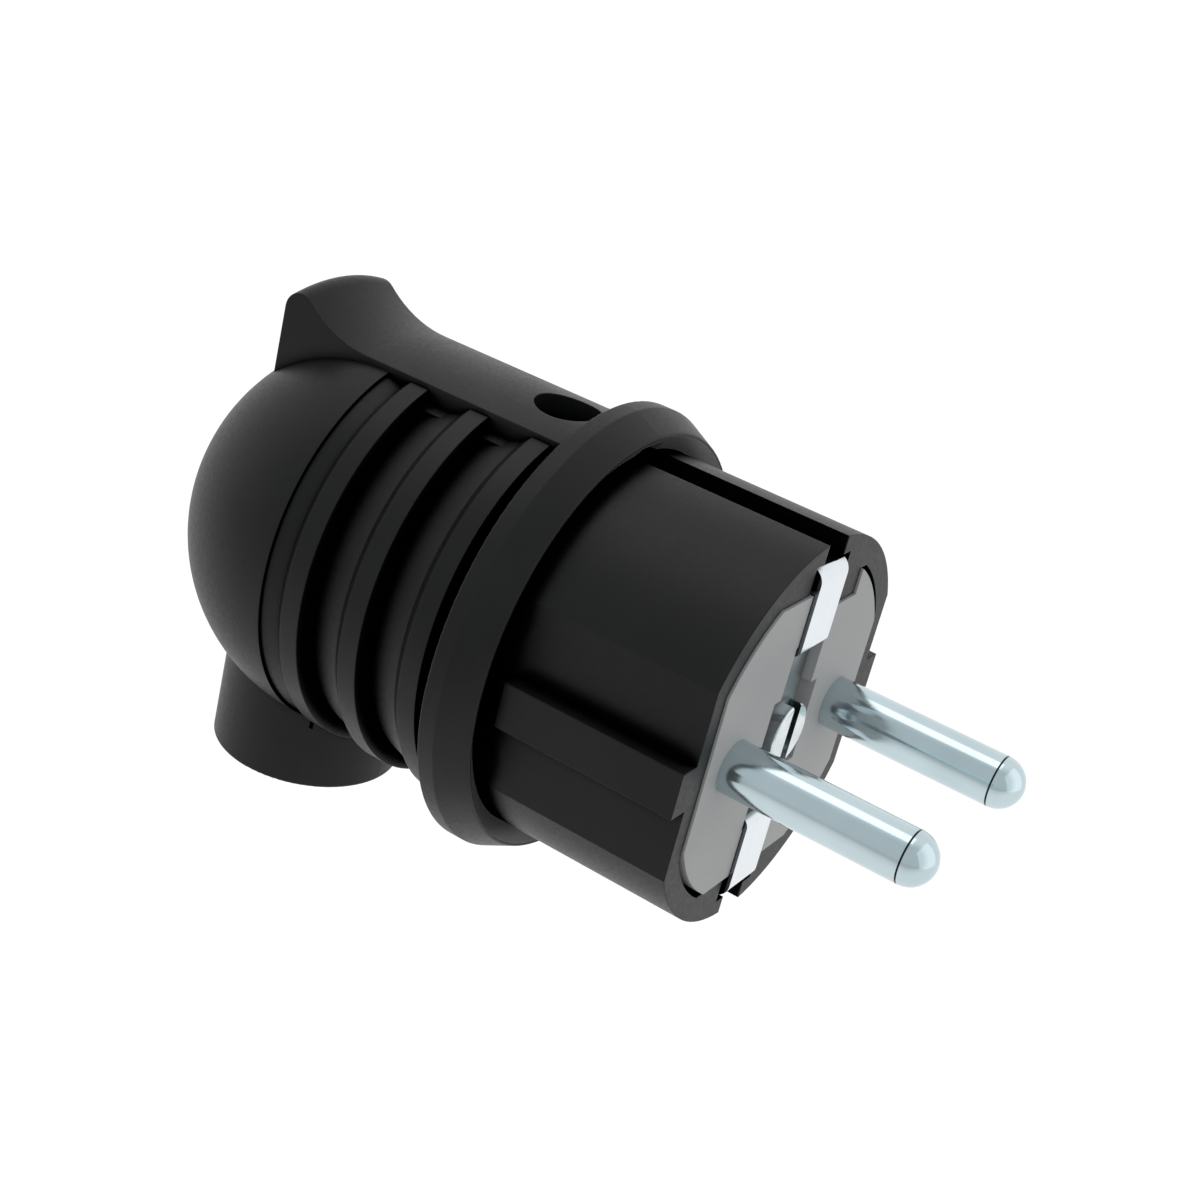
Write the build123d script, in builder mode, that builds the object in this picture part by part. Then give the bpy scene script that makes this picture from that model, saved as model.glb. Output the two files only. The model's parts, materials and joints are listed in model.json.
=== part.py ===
"""Angled rubber plug with two round pins and side earth strips, in millimetres.

The origin is the middle of the contact face, between the roots of the two pins.
+X is the way the pins point, +Z is up to the grip arm, and the cable leaves downwards.
"""

import os
from math import cos, radians, sin, sqrt

from build123d import *

# Contact pins
pin_radius = 2.4
pin_length = 19.0
pin_spacing = 19.0
pin_root_radius = 2.0
pin_head_width = 7.0
pin_head_height = 7.6
pin_head_length = 9.0

# Front rubber body: the part that enters the socket
profile_radius = 18.3
profile_half_width = 16.0
guide_reach = 18.15
guide_half_height = 2.1
guide_rear = -17.75
rim_setback = 0.2

# Collar
collar_front = -18.4
collar_rear = -23.05
collar_radius = 21.5
collar_front_radius = 20.1
collar_band = 1.7
collar_dish = 2.8
collar_round = 0.2

# Ribbed neck
seam = -43.1
neck_end_radius = 18.5
rib_count = 3
rib_pitch = 6.6
last_rib_gap = 2.35
rib_width = 1.9
rib_rise = 0.9
rib_radius = 18.9
slope_top_radius = 18.1
slope_foot_radius = 17.3
groove_width = 0.75
groove_radius = 16.4
neck_bore_radius = 14.6

# Rear shell: dome, grip arm and cable outlet
dome_radius = 18.8
dome_offset = 0.42
dome_wall = 2.8
dome_flange = 2.0
spigot_length = 5.6
spigot_wall = 1.6
outlet_x = -48.4
outlet_radius = 9.3
outlet_end = -24.9
outlet_bore_radius = 5.0
outlet_inner_end = -12.0
outlet_sleeve_wall = 2.2
outlet_lead_in = 0.8
outlet_round = 0.3
seam_slit_width = 0.3
seam_slit_depth = 1.0

# Grip arm
arm_half_width = 6.1
arm_radius = 19.3
arm_thickness = 2.0
arm_sweep_start = -46.0
arm_sweep_radius = 11.4
arm_sweep_angle = 38.0
arm_crest_radius = 1.6
arm_root_radius = 12.6
rail_width = 0.9
rail_radius = 17.75

# Housing screw, reached through the hole in the grip arm
housing_screw_x = -28.0
screw_well_radius = 3.1
screw_well_floor = 14.4
washer_radius = 2.9
washer_thickness = 0.5
boss_radius = 4.7
boss_end = 12.5

# Contact carrier and its rear half
carrier_half_width = 14.0
carrier_half_height = 13.85
carrier_radius = 16.0
carrier_relief = 0.5
carrier_length = 13.0
key_width = 4.1
key_start = 2.9
key_depth = 2.35
lug_half_width = 2.45
back_radius = 14.2
back_half_height = 8.5
back_length = 11.0
earth_block_size = 7.0
earth_block_length = 8.8

# Earth strip
strip_width = 5.1
strip_thickness = 0.8
strip_proud = 0.35
strip_leg_height = 16.25
strip_leg_length = 12.0
strip_clip_end = 7.9
strip_sunk = 0.9
strip_bend = 0.6
strip_outer_bend = 1.0
strip_slot_half_width = 1.85
strip_channel_half_width = 3.2
strip_top_gap = 0.25
strip_side_gap = 0.3

# Centre screw in its pocket
centre_head_radius = 2.9
centre_head_height = 1.5
centre_shank_radius = 2.0
centre_shank_length = 15.8
centre_slot_width = 1.3
centre_slot_depth = 1.1
pocket_half_size = 4.0

# Terminals
wire_hole_radius = 1.5
terminal_screw_x = -18.5
terminal_head_radius = 2.2
terminal_head_height = 1.7
terminal_shank_radius = 1.7
terminal_head_lift = 0.4
terminal_bite = 0.3
earth_wire_depth = 4.4
earth_screw_x = -19.6

# Cord clamp
tongue_half_width = 4.6
tongue_bottom = 4.5
tongue_rear = -37.0
bridge_length = 6.0
bridge_half_width = 10.3
bridge_thickness = 3.0
bush_block_half_width = 4.4
bush_block_length = 9.0
bush_block_top = 12.4
bush_radius = 2.5
bush_length = 3.6
clamp_bar_length = 5.0
clamp_bar_thickness = 3.0
clamp_bar_top = -4.5
clamp_bar_round = 1.2
cord_radius = 5.0
clamp_screw_y = 7.6
clamp_head_radius = 2.4
clamp_head_height = 1.6
clamp_shank_radius = 1.5
clamp_nut_size = 5.0
clamp_nut_height = 2.0
saddle_relief = 1.0

# Fits
fit_gap = 0.1
thread_gap = 0.05
press_gap = 0.02
screw_end_gap = 0.4

# Screw heads and tips
slot_width = 0.9
slot_depth = 0.7
head_round = 0.25
tip_chamfer = 0.4

# Places worked out from the sizes above
pin_places = {"near": -pin_spacing / 2, "far": pin_spacing / 2}
dome_middle = seam - dome_offset
dome_inner_radius = dome_radius - dome_wall
spigot_radius = neck_bore_radius - fit_gap
rib_fronts = [collar_rear - last_rib_gap - rib_pitch * n for n in reversed(range(rib_count))]
strip_face = strip_proud - strip_thickness / 2
strip_floor = -strip_sunk - strip_thickness
strip_leg = strip_leg_height - strip_thickness / 2
strip_channel_top = strip_leg_height + strip_top_gap
dish_floor = collar_front - collar_dish
carrier_rear = -carrier_length
back_rear = carrier_rear - back_length
key_bottom = carrier_half_height - key_depth
bridge_top = tongue_bottom + bridge_thickness
bridge_middle = tongue_rear + bridge_length / 2
clamp_bar_bottom = clamp_bar_top - clamp_bar_thickness

x_axis = Axis((0, 0, 0), (1, 0, 0))


def carrier_outline(gap):
    """Draw the contact carrier's outline, grown by a gap, in the sketch that is open."""
    Circle(carrier_radius + gap)
    Rectangle(2 * (carrier_half_width + gap), 2 * (carrier_half_height + gap), mode=Mode.INTERSECT)


def slotted_screw(
    name, seat, head_radius, head_height, shank_radius, shank_length, slot=(slot_width, slot_depth)
):
    """Cheese-head screw whose head stands on a plane and whose shank goes down through it."""
    with BuildPart() as screw:
        with BuildSketch(seat):
            Circle(head_radius)
        extrude(amount=head_height)
        rim = screw.edges().filter_by(GeomType.CIRCLE).sort_by(Axis(seat.origin, seat.z_dir))[-1]
        fillet(rim, radius=head_round)
        with BuildSketch(seat):
            Circle(shank_radius)
        extrude(amount=-shank_length)
        tip = screw.edges().filter_by(GeomType.CIRCLE).sort_by(Axis(seat.origin, seat.z_dir))[0]
        chamfer(tip, length=tip_chamfer)
        with BuildSketch(seat.offset(head_height)):
            Rectangle(slot[0], 3 * head_radius)
        extrude(amount=-slot[1], mode=Mode.SUBTRACT)
    screw.part.label = name
    export_step(screw.part, f"parts/{name}.step")
    return screw


os.makedirs("parts", exist_ok=True)

# Front rubber body: ribbed neck, collar and the profile that enters the socket
with BuildPart() as front_body:
    with BuildSketch(Plane.XZ):
        with BuildLine():
            outline = [(seam, 0), (seam, neck_end_radius)]
            for front in rib_fronts:
                outline += [
                    (front - rib_width - rib_rise, slope_top_radius),
                    (front - rib_width, rib_radius),
                    (front, rib_radius),
                    (front, groove_radius),
                ]
                if front != rib_fronts[-1]:
                    foot = front + groove_width
                    outline += [(foot, groove_radius), (foot, slope_foot_radius)]
            outline += [
                (collar_rear, groove_radius),
                (collar_rear, collar_radius),
                (collar_rear + collar_band, collar_radius),
                (collar_front, collar_front_radius),
                (dish_floor, profile_half_width),
                (dish_floor, 0),
            ]
            Polyline(*outline, close=True)
        make_face()
    revolve(axis=x_axis)

    # Soft edges on the collar's rim
    rim_edges = front_body.edges().filter_by(GeomType.CIRCLE).filter_by(lambda e: e.radius > rib_radius)
    fillet(rim_edges, radius=collar_round)

    # Profile standing in the dished front of the collar, with a guide on each side
    with BuildSketch(Plane.YZ.offset(dish_floor)):
        Circle(profile_radius)
        Rectangle(2 * profile_half_width, 2 * profile_radius, mode=Mode.INTERSECT)
    extrude(amount=-rim_setback - dish_floor)
    with BuildSketch(Plane.YZ.offset(guide_rear)):
        Rectangle(2 * guide_reach, 2 * guide_half_height)
    extrude(amount=-rim_setback - guide_rear)

    # Rails along the arm's slot
    with BuildSketch(Plane.YZ.offset(rib_fronts[0])):
        Circle(rail_radius)
        with Locations((0, rail_radius / 2)):
            Rectangle(2 * (arm_half_width + fit_gap + rail_width), rail_radius, mode=Mode.INTERSECT)
    extrude(amount=collar_rear - rib_fronts[0])

    # Seat for the carrier, with a key at the top
    with BuildSketch(Plane.YZ.offset(carrier_rear)):
        carrier_outline(fit_gap)
        with Locations((key_start + key_width / 2, key_bottom + key_depth)):
            Rectangle(key_width, 2 * key_depth, mode=Mode.SUBTRACT)
    extrude(amount=carrier_length, mode=Mode.SUBTRACT)

    # Bore behind the carrier
    with BuildSketch(Plane.YZ.offset(seam)):
        Circle(neck_bore_radius)
    extrude(amount=carrier_rear - seam, mode=Mode.SUBTRACT)

    # Grooves for the earth strip, wider inside than at the surface
    for side in (1, -1):
        with BuildSketch(Plane.YZ.offset(-rim_setback)):
            with Locations((0, side * strip_channel_top / 2)):
                Rectangle(2 * strip_channel_half_width, strip_channel_top)
            with Locations((0, side * key_bottom / 2)):
                Rectangle(2 * strip_channel_half_width, key_bottom, mode=Mode.SUBTRACT)
        extrude(amount=carrier_rear + rim_setback, mode=Mode.SUBTRACT)
        with BuildSketch(Plane.YZ.offset(-rim_setback)):
            with Locations((0, side * (strip_channel_top + profile_radius) / 2)):
                Rectangle(2 * strip_slot_half_width, 2 * (profile_radius - strip_channel_top))
        extrude(amount=dish_floor + rim_setback, mode=Mode.SUBTRACT)

    # Slot that the grip arm lies in
    with BuildSketch(Plane.YZ.offset(seam)):
        with Locations((0, collar_radius / 2)):
            Rectangle(2 * (arm_half_width + fit_gap), collar_radius)
        Circle(arm_radius - arm_thickness, mode=Mode.SUBTRACT)
    extrude(amount=collar_rear - seam, mode=Mode.SUBTRACT)

    # Hole for the arm's screw boss
    with BuildSketch(Plane.XY.offset(boss_end)):
        with Locations((housing_screw_x, 0)):
            Circle(boss_radius + fit_gap)
    extrude(amount=arm_radius - boss_end, mode=Mode.SUBTRACT)

front_body.part.label = "front_body"
export_step(front_body.part, "parts/front_body.step")

# Grip arm, a turned outline cut to its width
with BuildPart() as grip_arm:
    with BuildSketch(Plane.XZ):
        with BuildLine():
            top = Line((collar_rear - fit_gap, arm_radius), (arm_sweep_start, arm_radius))
            sweep_up = JernArc(top @ 1, (-1, 0), arm_sweep_radius, -arm_sweep_angle)
            crest = JernArc(sweep_up @ 1, sweep_up % 1, arm_crest_radius, 90 + arm_sweep_angle)
            Polyline(
                crest @ 1,
                ((crest @ 1).X, arm_root_radius),
                (seam, arm_radius - arm_thickness),
                (collar_rear - fit_gap, arm_radius - arm_thickness),
                top @ 0,
            )
        make_face()
    revolve(axis=x_axis)
    with BuildSketch(Plane.YZ):
        with Locations((0, collar_radius)):
            Rectangle(2 * arm_half_width, 2 * collar_radius)
    extrude(amount=2 * seam, mode=Mode.INTERSECT)

# Rear rubber shell: dome, cable outlet, spigot and arm
with BuildPart() as rear_shell:
    with BuildSketch(Plane.XZ):
        with BuildLine():
            CenterArc((dome_middle, 0), dome_radius, 90, 90)
            Polyline(
                (dome_middle, dome_radius),
                (seam, dome_radius),
                (seam, 0),
                (dome_middle - dome_radius, 0),
            )
        make_face()
    revolve(axis=x_axis)

    # Outlet tube
    with BuildSketch(Plane.XY.offset(outlet_end)):
        with Locations((outlet_x, 0)):
            Circle(outlet_radius)
    extrude(amount=-outlet_end)
    end_rim = rear_shell.edges().filter_by(GeomType.CIRCLE).sort_by(Axis.Z)[0]
    fillet(end_rim, radius=outlet_round)

    # Spigot that enters the neck
    with BuildSketch(Plane.YZ.offset(seam)):
        Circle(spigot_radius)
    extrude(amount=spigot_length)

    add(grip_arm.part)

    # Hollow of the dome and the way forward through the spigot
    with BuildSketch(Plane.XZ):
        with BuildLine():
            flange_face = seam - dome_flange
            flange_edge = sqrt(dome_inner_radius**2 - (flange_face - dome_middle) ** 2)
            spigot_bore = spigot_radius - spigot_wall
            start = (dome_middle - dome_inner_radius, 0)
            turn = radians(135)
            bulge = (dome_middle + dome_inner_radius * cos(turn), dome_inner_radius * sin(turn))
            ThreePointArc(start, bulge, (flange_face, flange_edge))
            Polyline(
                (flange_face, flange_edge),
                (flange_face, spigot_bore),
                (seam + spigot_length, spigot_bore),
                (seam + spigot_length, 0),
                start,
            )
        make_face()
    revolve(axis=x_axis, mode=Mode.SUBTRACT)

    # Sleeve and bore for the cable
    with BuildSketch(Plane.XY.offset(outlet_end + outlet_round)):
        with Locations((outlet_x, 0)):
            Circle(outlet_bore_radius + outlet_sleeve_wall)
    extrude(amount=outlet_inner_end - outlet_end - outlet_round)
    with BuildSketch(Plane.XY.offset(outlet_end)):
        with Locations((outlet_x, 0)):
            Circle(outlet_bore_radius)
    extrude(amount=outlet_inner_end - outlet_end, mode=Mode.SUBTRACT)
    mouth = rear_shell.edges().filter_by(GeomType.CIRCLE).group_by(Axis.Z)[0].sort_by(SortBy.RADIUS)[0]
    chamfer(mouth, length=outlet_lead_in)

    # Room for the neck, which passes over the front of the outlet tube
    with BuildSketch(Plane.YZ.offset(seam)):
        Circle(rib_radius + fit_gap)
        with Locations((0, -rib_radius)):
            Rectangle(3 * rib_radius, 2 * rib_radius, mode=Mode.INTERSECT)
        Circle(spigot_radius, mode=Mode.SUBTRACT)
    extrude(amount=outlet_radius, mode=Mode.SUBTRACT)

    # Slit where the seam line runs on into the outlet tube
    with BuildSketch(Plane.YZ.offset(seam)):
        Circle(rib_radius + seam_slit_depth)
        with Locations((0, -rib_radius)):
            Rectangle(3 * rib_radius, 2 * rib_radius, mode=Mode.INTERSECT)
        Circle(rib_radius, mode=Mode.SUBTRACT)
    extrude(amount=seam_slit_width, mode=Mode.SUBTRACT)

    # Boss under the arm, with a well for the screw
    with BuildSketch(Plane.XY.offset(boss_end)):
        with Locations((housing_screw_x, 0)):
            Circle(boss_radius)
    extrude(amount=arm_radius - arm_thickness / 2 - boss_end)
    with BuildSketch(Plane.XY.offset(screw_well_floor)):
        with Locations((housing_screw_x, 0)):
            Circle(screw_well_radius)
    extrude(amount=collar_radius - screw_well_floor, mode=Mode.SUBTRACT)
    with BuildSketch(Plane.XY.offset(boss_end)):
        with Locations((housing_screw_x, 0)):
            Circle(clamp_shank_radius + fit_gap)
    extrude(amount=screw_well_floor - boss_end, mode=Mode.SUBTRACT)

rear_shell.part.label = "rear_shell"
export_step(rear_shell.part, "parts/rear_shell.step")

# Contact carrier: the grey block whose face is seen between the pins
with BuildPart() as contact_carrier:
    with BuildSketch(Plane.YZ.offset(carrier_rear)):
        carrier_outline(0)
        Ellipse(
            carrier_radius + carrier_relief, carrier_radius - carrier_relief, rotation=-45, mode=Mode.INTERSECT
        )
    extrude(amount=carrier_length)

    # Lugs under the legs of the earth strip
    with BuildSketch(Plane.YZ.offset(strip_floor)):
        Rectangle(2 * lug_half_width, 2 * (strip_leg_height - strip_thickness))
    extrude(amount=carrier_rear - strip_floor)

    # Notch round the rubber key
    with BuildSketch(Plane.YZ):
        with Locations((key_start + key_width / 2, key_bottom + key_depth)):
            Rectangle(key_width + 2 * fit_gap, 2 * (key_depth + fit_gap))
    extrude(amount=-carrier_length, mode=Mode.SUBTRACT)

    # Channel for the strip: shallow under the clips, deep between them
    with BuildSketch(Plane.YZ):
        Rectangle(strip_width + 2 * fit_gap, 4 * carrier_half_height)
    extrude(amount=strip_proud - strip_thickness, mode=Mode.SUBTRACT)
    with BuildSketch(Plane.YZ):
        Rectangle(strip_width + 2 * strip_side_gap, 2 * (strip_clip_end + strip_thickness + strip_side_gap))
        Rectangle(2 * pocket_half_size, 2 * pocket_half_size)
    extrude(amount=strip_floor, mode=Mode.SUBTRACT)

    # Holes for the pins and the centre screw
    with BuildSketch(Plane.YZ):
        with GridLocations(pin_spacing, 0, 2, 1):
            Circle(pin_root_radius + thread_gap)
        Circle(centre_shank_radius + fit_gap)
    extrude(amount=-carrier_length, mode=Mode.SUBTRACT)

contact_carrier.part.label = "contact_carrier"
export_step(contact_carrier.part, "parts/contact_carrier.step")

# Rear half of the carrier, with the bridge of the cord clamp
with BuildPart() as carrier_back:
    with BuildSketch(Plane.YZ.offset(carrier_rear)):
        Circle(back_radius)
        Rectangle(2 * back_radius, 2 * back_half_height, mode=Mode.INTERSECT)
    extrude(amount=-back_length)

    # Chambers for the pin heads, open upwards
    with BuildSketch(Plane.YZ.offset(carrier_rear)):
        for place in pin_places.values():
            with Locations((place, back_half_height / 2)):
                Rectangle(pin_head_width + 2 * fit_gap, back_half_height + pin_head_height + 2 * fit_gap)
    extrude(amount=-back_length, mode=Mode.SUBTRACT)

    # Chamber for the earth block, open downwards
    with BuildSketch(Plane.YZ.offset(carrier_rear)):
        with Locations((0, -back_half_height / 2)):
            Rectangle(earth_block_size + 2 * fit_gap, back_half_height + earth_block_size + 2 * fit_gap)
    extrude(amount=-back_length, mode=Mode.SUBTRACT)

    # Tongue, bridge and the block for the threaded bush
    with BuildSketch(Plane.XY.offset(tongue_bottom)):
        with Locations(((back_rear + tongue_rear) / 2, 0)):
            Rectangle(back_rear - tongue_rear, 2 * tongue_half_width)
    extrude(amount=back_half_height - tongue_bottom)
    with BuildSketch(Plane.XY.offset(tongue_bottom)):
        with Locations((bridge_middle, 0)):
            Rectangle(bridge_length, 2 * bridge_half_width)
    extrude(amount=bridge_thickness)
    with BuildSketch(Plane.XY.offset(tongue_bottom)):
        with Locations((housing_screw_x, 0)):
            Rectangle(bush_block_length, 2 * bush_block_half_width)
    extrude(amount=bush_block_top - tongue_bottom)

    # Saddle for the cable, holes for the bush and the clamp screws
    with BuildSketch(Plane.YZ.offset(tongue_rear)):
        Circle(cord_radius + saddle_relief)
    extrude(amount=bridge_length, mode=Mode.SUBTRACT)
    with BuildSketch(Plane.XY.offset(bush_block_top)):
        with Locations((housing_screw_x, 0)):
            Circle(bush_radius + press_gap)
    extrude(amount=-bush_length, mode=Mode.SUBTRACT)
    with BuildSketch(Plane.XY.offset(bridge_top)):
        with Locations((bridge_middle, clamp_screw_y), (bridge_middle, -clamp_screw_y)):
            Circle(clamp_shank_radius + fit_gap)
    extrude(amount=-bridge_thickness, mode=Mode.SUBTRACT)

carrier_back.part.label = "carrier_back"
export_step(carrier_back.part, "parts/carrier_back.step")

# Contact pins, each with a terminal head, and their screws
for side, place in pin_places.items():
    with BuildPart() as contact_pin:
        with BuildSketch(Plane.XZ.offset(-place)):
            with BuildLine():
                tip_start = pin_length - pin_radius
                shank = Polyline(
                    (carrier_rear, 0),
                    (carrier_rear, pin_root_radius),
                    (0, pin_root_radius),
                    (0, pin_radius),
                    (tip_start, pin_radius),
                )
                turn = radians(45)
                bulge = (tip_start + pin_radius * cos(turn), pin_radius * sin(turn))
                ThreePointArc(shank @ 1, bulge, (pin_length, 0))
                Line((pin_length, 0), (carrier_rear, 0))
            make_face()
        revolve(axis=Axis((0, place, 0), (1, 0, 0)))
        with BuildSketch(Plane.YZ.offset(carrier_rear)):
            with Locations((place, 0)):
                Rectangle(pin_head_width, pin_head_height)
        extrude(amount=-pin_head_length)
        with BuildSketch(Plane.YZ.offset(carrier_rear - pin_head_length)):
            with Locations((place, 0)):
                Circle(wire_hole_radius)
        extrude(amount=pin_head_length - pin_radius, mode=Mode.SUBTRACT)
        with BuildSketch(Plane.XY.offset(pin_head_height / 2)):
            with Locations((terminal_screw_x, place)):
                Circle(terminal_shank_radius + thread_gap)
        extrude(amount=-pin_head_height / 2, mode=Mode.SUBTRACT)
    contact_pin.part.label = f"contact_pin_{side}"
    export_step(contact_pin.part, f"parts/contact_pin_{side}.step")

    terminal_seat = Plane((terminal_screw_x, place, pin_head_height / 2 + terminal_head_lift))
    terminal_reach = pin_head_height / 2 + terminal_head_lift - wire_hole_radius + terminal_bite
    slotted_screw(
        f"terminal_screw_{side}", terminal_seat, terminal_head_radius, terminal_head_height,
        terminal_shank_radius, terminal_reach,
    )

# Earth strip: one folded strip with a leg and a clip at each end
with BuildPart() as earth_strip:
    with BuildSketch(Plane.XZ):
        with BuildLine() as path:
            clip_low = strip_clip_end + strip_thickness / 2
            sunk_middle = -strip_sunk - strip_thickness / 2
            FilletPolyline(
                (strip_face - strip_leg_length, strip_leg),
                (strip_face, strip_leg),
                (strip_face, clip_low),
                (sunk_middle, clip_low),
                (sunk_middle, -clip_low),
                (strip_face, -clip_low),
                (strip_face, -strip_leg),
                (strip_face - strip_leg_length, -strip_leg),
                radius=[strip_outer_bend, strip_bend, strip_bend, strip_bend, strip_bend, strip_outer_bend],
            )
        trace(line_width=strip_thickness)
    extrude(amount=strip_width / 2, both=True)
    with BuildSketch(Plane.YZ):
        Circle(centre_shank_radius + fit_gap)
    extrude(amount=2 * strip_floor, mode=Mode.SUBTRACT)

earth_strip.part.label = "earth_strip"
export_step(earth_strip.part, "parts/earth_strip.step")

# Earth terminal block behind the carrier, tapped for the centre screw
with BuildPart() as earth_block:
    with BuildSketch(Plane.YZ.offset(carrier_rear)):
        Rectangle(earth_block_size, earth_block_size)
    extrude(amount=-earth_block_length)
    with BuildSketch(Plane.YZ.offset(carrier_rear)):
        Circle(centre_shank_radius + thread_gap)
    extrude(amount=-(earth_block_length - earth_wire_depth), mode=Mode.SUBTRACT)
    with BuildSketch(Plane.YZ.offset(carrier_rear - earth_block_length)):
        Circle(wire_hole_radius)
    extrude(amount=earth_wire_depth, mode=Mode.SUBTRACT)
    with BuildSketch(Plane.XY.offset(-earth_block_size / 2)):
        with Locations((earth_screw_x, 0)):
            Circle(terminal_shank_radius + thread_gap)
    extrude(amount=earth_block_size / 2, mode=Mode.SUBTRACT)

earth_block.part.label = "earth_block"
export_step(earth_block.part, "parts/earth_block.step")

earth_head = earth_block_size / 2 + terminal_head_lift
slotted_screw(
    "earth_screw", Plane((earth_screw_x, 0, -earth_head), z_dir=(0, 0, -1)), terminal_head_radius,
    terminal_head_height, terminal_shank_radius, earth_head - wire_hole_radius + terminal_bite,
)

# Centre screw: its slot stands upright in the pocket of the contact face
slotted_screw(
    "centre_screw", Plane((-strip_sunk, 0, 0), x_dir=(0, 1, 0), z_dir=(1, 0, 0)), centre_head_radius,
    centre_head_height, centre_shank_radius, centre_shank_length, (centre_slot_width, centre_slot_depth),
)

# Housing screw, its washer and the threaded bush that it enters
bush_bottom = bush_block_top - bush_length
washer_top = screw_well_floor + washer_thickness
with BuildPart() as housing_washer:
    with BuildSketch(Plane.XY.offset(screw_well_floor)):
        with Locations((housing_screw_x, 0)):
            Circle(washer_radius)
            Circle(clamp_shank_radius + fit_gap, mode=Mode.SUBTRACT)
    extrude(amount=washer_thickness)

housing_washer.part.label = "housing_washer"
export_step(housing_washer.part, "parts/housing_washer.step")

slotted_screw(
    "housing_screw", Plane((housing_screw_x, 0, washer_top)), clamp_head_radius,
    clamp_head_height, clamp_shank_radius, washer_top - bush_bottom - screw_end_gap,
)
with BuildPart() as threaded_bush:
    with BuildSketch(Plane.XY.offset(bush_bottom)):
        with Locations((housing_screw_x, 0)):
            Circle(bush_radius)
            Circle(clamp_shank_radius + thread_gap, mode=Mode.SUBTRACT)
    extrude(amount=bush_length)

threaded_bush.part.label = "threaded_bush"
export_step(threaded_bush.part, "parts/threaded_bush.step")

# Cord clamp bar, with a saddle for the cable
with BuildPart() as clamp_bar:
    with BuildSketch(Plane.XY.offset(clamp_bar_bottom)):
        with Locations((bridge_middle, 0)):
            RectangleRounded(clamp_bar_length, 2 * bridge_half_width, radius=clamp_bar_round)
    extrude(amount=clamp_bar_thickness)
    with BuildSketch(Plane.YZ.offset(bridge_middle - clamp_bar_length / 2)):
        Circle(cord_radius + saddle_relief)
    extrude(amount=clamp_bar_length, mode=Mode.SUBTRACT)
    with BuildSketch(Plane.XY.offset(clamp_bar_bottom)):
        with Locations((bridge_middle, clamp_screw_y), (bridge_middle, -clamp_screw_y)):
            Circle(clamp_shank_radius + fit_gap)
    extrude(amount=clamp_bar_thickness, mode=Mode.SUBTRACT)

clamp_bar.part.label = "cord_clamp_bar"
export_step(clamp_bar.part, "parts/cord_clamp_bar.step")

# Clamp screws from below, with a square nut each on the bridge
for side, place in {"near": -clamp_screw_y, "far": clamp_screw_y}.items():
    slotted_screw(
        f"clamp_screw_{side}", Plane((bridge_middle, place, clamp_bar_bottom), z_dir=(0, 0, -1)),
        clamp_head_radius, clamp_head_height, clamp_shank_radius,
        bridge_top + clamp_nut_height - clamp_bar_bottom,
    )
    with BuildPart() as clamp_nut:
        with BuildSketch(Plane.XY.offset(bridge_top)):
            with Locations((bridge_middle, place)):
                Rectangle(clamp_nut_size, clamp_nut_size)
                Circle(clamp_shank_radius + thread_gap, mode=Mode.SUBTRACT)
        extrude(amount=clamp_nut_height)
    clamp_nut.part.label = f"clamp_nut_{side}"
    export_step(clamp_nut.part, f"parts/clamp_nut_{side}.step")
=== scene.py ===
"""Looks for the angled rubber plug: materials, light and camera, in metres in the part's own frame."""

import json
from math import radians

import bpy
from mathutils import Matrix, Vector


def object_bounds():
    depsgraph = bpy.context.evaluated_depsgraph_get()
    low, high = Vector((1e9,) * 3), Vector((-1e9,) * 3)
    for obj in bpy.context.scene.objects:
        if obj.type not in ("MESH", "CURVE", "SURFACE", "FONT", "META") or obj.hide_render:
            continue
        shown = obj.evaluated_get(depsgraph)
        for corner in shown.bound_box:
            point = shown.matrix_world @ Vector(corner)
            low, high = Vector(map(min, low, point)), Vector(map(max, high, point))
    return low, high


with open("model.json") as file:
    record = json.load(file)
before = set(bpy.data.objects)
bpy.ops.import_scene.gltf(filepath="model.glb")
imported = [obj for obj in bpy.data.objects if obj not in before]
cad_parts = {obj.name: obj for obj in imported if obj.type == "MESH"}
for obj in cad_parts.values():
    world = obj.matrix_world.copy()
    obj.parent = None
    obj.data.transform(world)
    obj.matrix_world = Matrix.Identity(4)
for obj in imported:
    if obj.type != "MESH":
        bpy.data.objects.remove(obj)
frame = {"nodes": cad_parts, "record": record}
cad_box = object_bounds()
nodes = frame["nodes"]

# Camera at the photograph's viewing angle
CAMERA_PLACE = Vector((0.05412762, -0.1479963, 0.07770973))
CAMERA_RIGHT = Vector((0.81958947, 0.52586899, 0.22745308))
CAMERA_DOWN = Vector((0.40023583, -0.24141145, -0.88404287))
CAMERA_ANGLE = radians(32.897)
CAMERA_NEAR = 0.01
CAMERA_FAR = 20

# A small soft box overhead and a wide dim one in front of the contact face
OVERHEAD_PLACE = Vector((-0.2, 0, 0.7))
OVERHEAD_SIZE = 0.4
OVERHEAD_POWER = 0.4
FRONT_PLACE = Vector((0.6, 0.05, 0.25))
FRONT_SIZE = 1.0
FRONT_POWER = 0.9

# The room: its even light, and the white and the dim side that mirrors show
AMBIENT = (0.74, 0.745, 0.75, 1)
WHITE = (1, 1, 1, 1)
DIM_COLOUR = (0.645, 0.68, 0.69, 1)
DIM_SIDE = (0.25, -0.94, 0.22)
DIM_START = 0.15
DIM_END = 0.6

# The floor: seen as white, mirrored dimmer on its near side, and painted to keep the shadow
FLOOR_DROP = 0.11
FLOOR_SIZE = 6.0
FLOOR_COLOUR = (0.85, 0.85, 0.85, 1)
FLOOR_ROUGHNESS = 0.9
FLOOR_WHITE = 1.12
FLOOR_SHARE = 0.8
FLOOR_MIRRORED = 1.08
FLOOR_DIM = 0.6
FLOOR_DIM_FROM = -0.1
FLOOR_DIM_TO = -0.6

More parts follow.
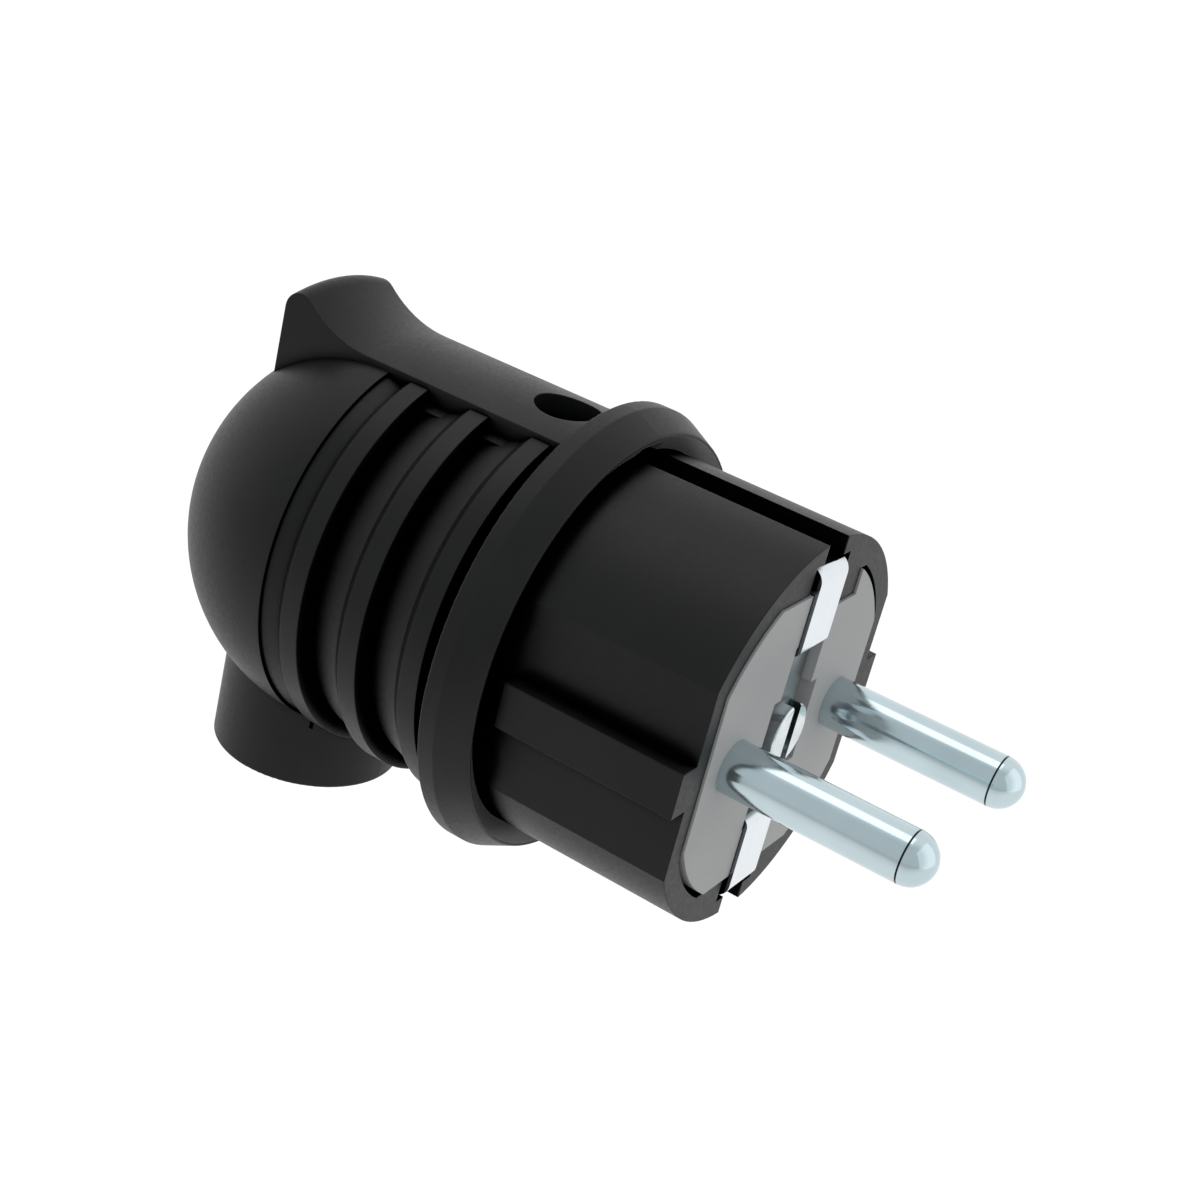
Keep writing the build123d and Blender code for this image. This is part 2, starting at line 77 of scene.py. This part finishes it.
# Places on the object that the materials follow
PIN_RING = 0.0166
SEAM = -0.0431
RIB_CREST = 0.0189
RIB_BLEND = 0.00025
COLLAR_CREST = 0.0215
COLLAR_BLEND = 0.0003
COLLAR_FRONT = -0.01845
DISH_FLOOR = -0.0213
DISH_RIM = 0.01992
PROFILE_RADIUS = 0.01835
SLOT_HALF_WIDTH = 0.00188
SLOT_FOOT = 0.0157
RIM_FRONT = -0.0003
STRIP_MIDDLE = 0.0088
STRIP_SUNK = -0.0004
STRIP_PROUD = 0.0001

# Rubber
RUBBER_IOR = 1.33
RUBBER_GLOSS = 0.47
RUBBER_DARK = (0.0045, 0.0045, 0.0046, 1)
RUBBER_LIGHT = (0.006, 0.006, 0.0061, 1)
RUBBER_WORN = (0.01, 0.01, 0.0102, 1)
# painted shade: the near-black the rubber is painted in corners, grooves and the strip's slots
RUBBER_PAINTED_SHADE = (0.0006, 0.0006, 0.0007, 1)
# painted light: the collar's dish is painted lighter, with about twice the gloss
DISH_PAINTED_LIGHT = (0.1, 0.1, 0.1004, 1)
DISH_SHARE = 2.0
# painted shade: how far the strip's slots in the rubber are painted dark
SLOT_PAINTED_SHADE = 0.9
WORN_SHARE = 0.4
WORN_POLISH = 0.08

# Grey plastic
PLASTIC_IOR = 1.4
PLASTIC_DARK = (0.34, 0.343, 0.343, 1)
PLASTIC_LIGHT = (0.36, 0.363, 0.363, 1)
PLASTIC_SPECK = (0.12, 0.12, 0.12, 1)

# Pins
PIN_DARK = (0.52, 0.63, 0.665, 1)
PIN_LIGHT = (0.565, 0.675, 0.71, 1)
PIN_WORN = (0.62, 0.68, 0.7, 1)
RING_COLOUR = (0.01, 0.01, 0.01, 1)
RING_CORE = 0.00006
RING_EDGE = 0.00011
RING_DEPTH = 2.0

# Earth strip
STRIP_DARK = (0.76, 0.805, 0.845, 1)
STRIP_LIGHT = (0.79, 0.835, 0.875, 1)
STRIP_RUBBED = (0.72, 0.76, 0.79, 1)
# painted shade: the strip's colour in its corners
STRIP_PAINTED_SHADE = (0.12, 0.14, 0.15, 1)
# painted shade: the colour of the strip's sunk middle between the clips
SUNK_PAINTED_SHADE = (0.3, 0.315, 0.32, 1)
SUNK_DULLNESS = 0.22

# Screws, nuts and washer
STEEL_DARK = (0.6, 0.67, 0.69, 1)
STEEL_LIGHT = (0.72, 0.77, 0.79, 1)
STEEL_MARK = (0.35, 0.38, 0.39, 1)
# painted shade: the steel's colour in its corners
STEEL_PAINTED_SHADE = (0.02, 0.03, 0.035, 1)
TURNED_RINGS = 42000.0

# Brass terminals
BRASS_BRIGHT = (0.78, 0.6, 0.3, 1)
BRASS_DULL = (0.52, 0.38, 0.18, 1)
BRASS_SCRATCH = (0.88, 0.74, 0.45, 1)


class Nodes:
    """A short way to write the node tree of one material."""

    def __init__(self, name, metal=0.0):
        self.material = bpy.data.materials.new(name)
        self.material.use_nodes = True
        self.tree = self.material.node_tree
        self.shader = self.tree.nodes["Principled BSDF"]
        self.shader.inputs["Metallic"].default_value = metal
        self.place = self.add("ShaderNodeTexCoord").outputs["Object"]
        split = self.add("ShaderNodeSeparateXYZ", Vector=self.place)
        self.x, self.y, self.z = split.outputs

    def add(self, kind, settings=(), **inputs):
        """Add a node; inputs are named, and hold a value or another node's output."""
        node = self.tree.nodes.new(kind)
        for key, value in dict(settings).items():
            setattr(node, key, value)
        for key, value in inputs.items():
            self.feed(node.inputs[key.replace("_", " ")], value)
        return node

    def feed(self, socket, value):
        """Link another node's output to a socket, or set its value."""
        if isinstance(value, bpy.types.NodeSocket):
            self.tree.links.new(value, socket)
        else:
            socket.default_value = value

    def math(self, operation, *values):
        node = self.add("ShaderNodeMath", {"operation": operation})
        for socket, value in zip(node.inputs, values):
            self.feed(socket, value)
        return node.outputs[0]

    def product(self, first, *others):
        """All the values multiplied together."""
        result = first
        for value in others:
            result = self.math("MULTIPLY", result, value)
        return result

    def noise(self, scale, stretch=(1, 1, 1), detail=4.0):
        """Noise in the object's own space, as a value around a half."""
        mapping = self.add("ShaderNodeMapping", Vector=self.place, Scale=stretch)
        texture = self.add("ShaderNodeTexNoise", Vector=mapping.outputs[0], Scale=scale, Detail=detail)
        return texture.outputs[0]

    def ramp(self, value, low, high, out_low=0, out_high=1):
        """Carry a value from one range to another, held at its ends."""
        node = self.add("ShaderNodeMapRange", Value=value)
        ends = {"From Min": low, "From Max": high, "To Min": out_low, "To Max": out_high}
        for name, amount in ends.items():
            node.inputs[name].default_value = amount
        return node.outputs[0]

    def inside(self, value, low, high):
        """One where the value lies between two limits, and nothing elsewhere."""
        above = self.math("GREATER_THAN", value, low)
        return self.product(above, self.math("LESS_THAN", value, high))

    def mix(self, factor, first, second):
        """A colour between two others, the first at nothing and the second at one."""
        node = self.add("ShaderNodeMix", {"data_type": "RGBA"})
        self.feed(node.inputs[0], factor)
        self.feed(node.inputs[6], first)
        self.feed(node.inputs[7], second)
        return node.outputs[2]

    def from_axis(self):
        """Distance from the axis that runs along the plug, midway between the pins."""
        squares = [self.math("MULTIPLY", value, value) for value in (self.y, self.z)]
        return self.math("SQRT", self.math("ADD", *squares))

    def openness(self, distance, dark, light):
        """One on open faces, falling to nothing in corners and grooves; the materials paint shade by it."""
        node = self.add("ShaderNodeAmbientOcclusion", {"samples": 12}, Distance=distance)
        return self.ramp(node.outputs["AO"], dark, light)

    def colour(self, value):
        self.feed(self.shader.inputs["Base Color"], value)

    def roughness(self, value):
        self.feed(self.shader.inputs["Roughness"], value)

    def bump(self, height, strength, distance, edge=0.0):
        """Raise the height over the surface, and soften sharp edges over the edge's radius."""
        node = self.add("ShaderNodeBump", Height=height, Strength=strength, Distance=distance)
        if edge:
            soft = self.add("ShaderNodeBevel", {"samples": 6}, Radius=edge)
            self.feed(node.inputs["Normal"], soft.outputs[0])
        self.feed(self.shader.inputs["Normal"], node.outputs[0])


def rubbed_crests(look, from_axis, clouds):
    """Patches on the crests of the ribs and the collar, in front of the seam, where hands rub."""
    rib = look.ramp(from_axis, RIB_CREST - RIB_BLEND, RIB_CREST)
    collar = look.ramp(from_axis, COLLAR_CREST - COLLAR_BLEND, COLLAR_CREST)
    crest = look.math("MAXIMUM", rib, collar)
    patches = look.ramp(clouds, 0.45, 0.7, 0, WORN_SHARE)
    return look.product(crest, patches, look.math("GREATER_THAN", look.x, SEAM))


def collar_dish(look, from_axis):
    """One inside the collar's dished front."""
    along = look.inside(look.x, DISH_FLOOR, COLLAR_FRONT)
    return look.product(along, look.inside(from_axis, PROFILE_RADIUS, DISH_RIM))


def slot_shade_mask(look, from_axis):
    """Nearly one inside the two slots of the earth strip, where the rubber is painted dark as shade."""
    across = look.inside(look.y, -SLOT_HALF_WIDTH, SLOT_HALF_WIDTH)
    deep = look.inside(from_axis, SLOT_FOOT, PROFILE_RADIUS)
    along = look.inside(look.x, DISH_FLOOR, RIM_FRONT)
    return look.product(across, SLOT_PAINTED_SHADE, deep, along)


def rubber():
    """Moulded black rubber: spark grain, cloudy sheen, painted shade in corners, grooves and the strip's
    slots, a collar dish painted lighter, and crests rubbed by hands.
    """
    look = Nodes("black_rubber")
    look.shader.inputs["IOR"].default_value = RUBBER_IOR
    grain = look.noise(scale=2600)
    clouds = look.noise(scale=140)
    from_axis = look.from_axis()
    wear = rubbed_crests(look, from_axis, clouds)
    body = look.mix(look.ramp(clouds, 0.35, 0.65), RUBBER_DARK, RUBBER_LIGHT)
    worn = look.mix(wear, body, RUBBER_WORN)

    # Painted light: the collar's dish is painted lighter and glossier. Painted shade: the corners and the
    # slots of the earth strip are painted near-black, with less gloss
    dish = collar_dish(look, from_axis)
    corners = look.openness(distance=0.003, dark=0.68, light=0.82)
    lifted = look.math("MAXIMUM", corners, look.product(dish, DISH_SHARE))
    openness = look.product(lifted, look.math("SUBTRACT", 1.0, slot_shade_mask(look, from_axis)))
    shaded = look.mix(openness, RUBBER_PAINTED_SHADE, worn)
    look.colour(look.mix(dish, shaded, DISH_PAINTED_LIGHT))
    # painted shade in the gloss too: the specular level follows the openness
    look.feed(look.shader.inputs["Specular IOR Level"], look.product(openness, RUBBER_GLOSS))

    sheen = look.ramp(grain, 0.3, 0.7, 0.38, 0.47)
    look.roughness(look.math("SUBTRACT", sheen, look.product(wear, WORN_POLISH)))
    look.bump(grain, strength=0.16, distance=0.00003, edge=0.00016)
    return look.material


def grey_plastic():
    """Moulded grey plastic: fine grain, faint flow clouds and tiny dark specks of filler."""
    look = Nodes("grey_plastic")
    look.shader.inputs["IOR"].default_value = PLASTIC_IOR
    grain = look.noise(scale=3200)
    flow = look.noise(scale=160, stretch=(1, 0.35, 1))
    specks = look.ramp(look.noise(scale=5200, detail=1.0), 0.7, 0.74, 0, 0.3)
    body = look.mix(look.ramp(flow, 0.35, 0.65), PLASTIC_DARK, PLASTIC_LIGHT)
    look.colour(look.mix(specks, body, PLASTIC_SPECK))
    look.roughness(look.ramp(grain, 0.3, 0.7, 0.48, 0.6))
    look.bump(grain, strength=0.15, distance=0.00002, edge=0.0001)
    return look.material


def plated_pin():
    """Nickel-plated pin: lengthwise rub from sockets, fine turning lines and the ring at the tip's foot."""
    look = Nodes("plated_pin", metal=1.0)
    turning = look.noise(scale=900, stretch=(14, 0.3, 0.3), detail=2.0)
    slides = look.noise(scale=1500, stretch=(0.04, 1, 1), detail=3.0)
    clouds = look.noise(scale=220)
    scratch = look.ramp(slides, 0.58, 0.72)
    body = look.mix(look.ramp(clouds, 0.3, 0.7), PIN_DARK, PIN_LIGHT)
    worn = look.mix(look.product(scratch, 0.2), body, PIN_WORN)
    from_ring = look.math("ABSOLUTE", look.math("SUBTRACT", look.x, PIN_RING))
    ring = look.ramp(from_ring, RING_CORE, RING_EDGE, 1, 0)
    look.colour(look.mix(ring, worn, RING_COLOUR))
    turned = look.ramp(turning, 0.3, 0.7, 0.12, 0.15)
    look.roughness(look.math("ADD", turned, look.product(scratch, 0.04)))
    grooved = look.math("SUBTRACT", turning, look.product(ring, RING_DEPTH))
    look.bump(grooved, strength=0.04, distance=0.00001)
    return look.material


def earth_metal():
    """Bright plated strip: rolled lines, light rub marks on the clips, painted shade in its corners, and a
    sunk middle painted darker as shade and made rougher.
    """
    look = Nodes("earth_metal", metal=1.0)
    rolled = look.noise(scale=1800, stretch=(1, 1, 0.03), detail=3.0)
    rub = look.ramp(look.noise(scale=380), 0.5, 0.68)
    body = look.mix(look.ramp(rolled, 0.3, 0.7), STRIP_DARK, STRIP_LIGHT)
    rubbed = look.mix(look.product(rub, 0.2), body, STRIP_RUBBED)
    # painted shade: the strip is painted dark where occlusion falls
    open_face = look.openness(distance=0.003, dark=0.5, light=0.92)
    shaded = look.mix(open_face, STRIP_PAINTED_SHADE, rubbed)
    # painted shade: the sunk middle between the clips is painted darker, and also made rougher
    middle = look.inside(look.z, -STRIP_MIDDLE, STRIP_MIDDLE)
    sunk = look.product(middle, look.ramp(look.x, STRIP_SUNK, STRIP_PROUD, 1, 0))
    look.colour(look.mix(sunk, shaded, SUNK_PAINTED_SHADE))
    polish = look.ramp(rolled, 0.3, 0.7, 0.09, 0.12)
    rough = look.math("ADD", polish, look.product(rub, 0.04))
    look.roughness(look.math("ADD", rough, look.product(sunk, SUNK_DULLNESS)))
    look.bump(rolled, strength=0.015, distance=0.00001)
    return look.material


def screw_steel():
    """Zinc-plated steel: faint turned rings on the centre screw's head, a cloudy plating elsewhere and
    painted shade in its corners.
    """
    look = Nodes("screw_steel", metal=1.0)
    rings = look.math("SINE", look.product(look.from_axis(), TURNED_RINGS))
    clouds = look.noise(scale=700)
    marks = look.noise(scale=2400, detail=2.0)
    body = look.mix(look.ramp(clouds, 0.35, 0.65), STEEL_DARK, STEEL_LIGHT)
    marked = look.mix(look.ramp(marks, 0.66, 0.72, 0, 0.3), body, STEEL_MARK)
    # painted shade: the steel is painted dark where occlusion falls
    open_face = look.openness(distance=0.0014, dark=0.35, light=0.8)
    look.colour(look.mix(open_face, STEEL_PAINTED_SHADE, marked))
    look.roughness(look.ramp(clouds, 0.3, 0.7, 0.1, 0.17))
    look.bump(look.math("ADD", look.product(rings, 0.3), marks), strength=0.06, distance=0.00001)
    return look.material


def terminal_brass():
    """Turned brass with a dulled surface and brighter scratches."""
    look = Nodes("terminal_brass", metal=1.0)
    turned = look.noise(scale=1400, stretch=(6, 0.5, 0.5), detail=2.0)
    dull = look.ramp(look.noise(scale=260), 0.4, 0.65)
    body = look.mix(dull, BRASS_BRIGHT, BRASS_DULL)
    look.colour(look.mix(look.ramp(turned, 0.62, 0.74, 0, 0.5), body, BRASS_SCRATCH))
    lines = look.ramp(turned, 0.3, 0.7, 0.26, 0.38)
    look.roughness(look.math("ADD", lines, look.product(dull, 0.1)))
    look.bump(turned, strength=0.15, distance=0.00003)
    return look.material


def dress_nodes():
    """Give each node the material of its slot in the record."""
    makers = {
        "black_rubber": rubber,
        "grey_plastic": grey_plastic,
        "plated_metal": plated_pin,
        "earth_metal": earth_metal,
        "terminal_brass": terminal_brass,
        "screw_steel": screw_steel,
    }
    made = {slot: make() for slot, make in makers.items()}
    for row in frame["record"]["subparts"]:
        for slot in nodes[row["node"]].material_slots:
            slot.material = made[row["material_slot"]]


def seen_as_white(tree, lit, white, share):
    """Give camera, mirror and glass rays a share of the white shader, and all other rays the lit one."""
    path = tree.nodes.new("ShaderNodeLightPath")
    seen = path.outputs["Is Camera Ray"]
    for ray in ("Is Glossy Ray", "Is Transmission Ray"):
        either = tree.nodes.new("ShaderNodeMath")
        either.operation = "MAXIMUM"
        tree.links.new(seen, either.inputs[0])
        tree.links.new(path.outputs[ray], either.inputs[1])
        seen = either.outputs[0]
    part = tree.nodes.new("ShaderNodeMath")
    part.operation = "MULTIPLY"
    part.inputs[1].default_value = share
    tree.links.new(seen, part.inputs[0])
    blend = tree.nodes.new("ShaderNodeMixShader")
    tree.links.new(part.outputs[0], blend.inputs[0])
    tree.links.new(lit, blend.inputs[1])
    tree.links.new(white, blend.inputs[2])
    return blend.outputs[0]


def room_colour(tree):
    """White all round, with a dim side that mirrors show and the camera doesn't."""
    direction = tree.nodes.new("ShaderNodeTexCoord")
    facing = tree.nodes.new("ShaderNodeVectorMath")
    facing.operation = "DOT_PRODUCT"
    facing.inputs[1].default_value = DIM_SIDE
    tree.links.new(direction.outputs["Generated"], facing.inputs[0])
    dim = tree.nodes.new("ShaderNodeMapRange")
    dim.inputs["From Min"].default_value = DIM_START
    dim.inputs["From Max"].default_value = DIM_END
    tree.links.new(facing.outputs["Value"], dim.inputs["Value"])
    path = tree.nodes.new("ShaderNodeLightPath")
    mirrored = tree.nodes.new("ShaderNodeMath")
    mirrored.operation = "SUBTRACT"
    mirrored.use_clamp = True
    tree.links.new(dim.outputs[0], mirrored.inputs[0])
    tree.links.new(path.outputs["Is Camera Ray"], mirrored.inputs[1])
    colour = tree.nodes.new("ShaderNodeMix")
    colour.data_type = "RGBA"
    colour.inputs[6].default_value = WHITE
    colour.inputs[7].default_value = DIM_COLOUR
    tree.links.new(mirrored.outputs[0], colour.inputs[0])
    return colour.outputs[2]


def make_world():
    """An even light on the plug, in a room that is seen and mirrored as white."""
    world = bpy.data.worlds.new("studio")
    world.use_nodes = True
    tree = world.node_tree
    ambient = tree.nodes["Background"]
    ambient.inputs["Color"].default_value = AMBIENT
    white = tree.nodes.new("ShaderNodeBackground")
    tree.links.new(room_colour(tree), white.inputs["Color"])
    surface = seen_as_white(tree, ambient.outputs[0], white.outputs[0], 1.0)
    tree.links.new(surface, tree.nodes["World Output"].inputs["Surface"])
    bpy.context.scene.world = world


def floor_strength(tree):
    """How white the floor is: even when seen, and dimmer on its near side when mirrored."""
    place = tree.nodes.new("ShaderNodeTexCoord")
    split = tree.nodes.new("ShaderNodeSeparateXYZ")
    tree.links.new(place.outputs["Object"], split.inputs[0])
    mirrored = tree.nodes.new("ShaderNodeMapRange")
    mirrored.inputs["From Min"].default_value = FLOOR_DIM_TO
    mirrored.inputs["From Max"].default_value = FLOOR_DIM_FROM
    mirrored.inputs["To Min"].default_value = FLOOR_DIM
    mirrored.inputs["To Max"].default_value = FLOOR_MIRRORED
    tree.links.new(split.outputs["Y"], mirrored.inputs["Value"])
    path = tree.nodes.new("ShaderNodeLightPath")
    strength = tree.nodes.new("ShaderNodeMapRange")
    strength.inputs["To Max"].default_value = FLOOR_WHITE
    tree.links.new(path.outputs["Is Camera Ray"], strength.inputs["Value"])
    tree.links.new(mirrored.outputs[0], strength.inputs["To Min"])
    return strength.outputs[0]


def floor_material():
    material = bpy.data.materials.new("floor")
    material.use_nodes = True
    tree = material.node_tree
    paint = tree.nodes["Principled BSDF"]
    paint.inputs["Base Color"].default_value = FLOOR_COLOUR
    paint.inputs["Roughness"].default_value = FLOOR_ROUGHNESS
    white = tree.nodes.new("ShaderNodeEmission")
    tree.links.new(floor_strength(tree), white.inputs["Strength"])
    surface = seen_as_white(tree, paint.outputs[0], white.outputs[0], FLOOR_SHARE)
    tree.links.new(surface, tree.nodes["Material Output"].inputs["Surface"])
    return material


def make_floor():
    """A pale floor under the plug, which keeps its soft shadow."""
    half = FLOOR_SIZE / 2
    level = cad_box[0][2] - FLOOR_DROP
    corners = [(-half, -half, level), (half, -half, level), (half, half, level), (-half, half, level)]
    mesh = bpy.data.meshes.new("floor")
    mesh.from_pydata(corners, [], [(0, 1, 2, 3)])
    mesh.materials.append(floor_material())
    floor = bpy.data.objects.new("floor", mesh)
    bpy.context.scene.collection.objects.link(floor)


def make_lamp(name, place, size, power):
    """A square soft box that faces the contact face's middle."""
    lamp = bpy.data.lights.new(name, "AREA")
    lamp.shape = "SQUARE"
    lamp.size = size
    lamp.energy = power
    holder = bpy.data.objects.new(name, lamp)
    holder.location = place
    holder.rotation_euler = (-place).to_track_quat("-Z", "Y").to_euler()
    bpy.context.scene.collection.objects.link(holder)


def make_camera():
    camera = bpy.data.cameras.new("camera")
    camera.sensor_fit = "AUTO"
    camera.angle = CAMERA_ANGLE
    camera.clip_start = CAMERA_NEAR
    camera.clip_end = CAMERA_FAR
    holder = bpy.data.objects.new("camera", camera)
    up = -CAMERA_DOWN
    back = CAMERA_RIGHT.cross(up)
    turn = Matrix((CAMERA_RIGHT, up, back)).transposed()
    holder.matrix_world = Matrix.Translation(CAMERA_PLACE) @ turn.to_4x4()
    bpy.context.scene.collection.objects.link(holder)
    bpy.context.scene.camera = holder


dress_nodes()
make_world()
make_floor()
make_lamp("overhead", OVERHEAD_PLACE, OVERHEAD_SIZE, OVERHEAD_POWER)
make_lamp("front", FRONT_PLACE, FRONT_SIZE, FRONT_POWER)
make_camera()
bpy.context.scene.view_settings.view_transform = "Standard"
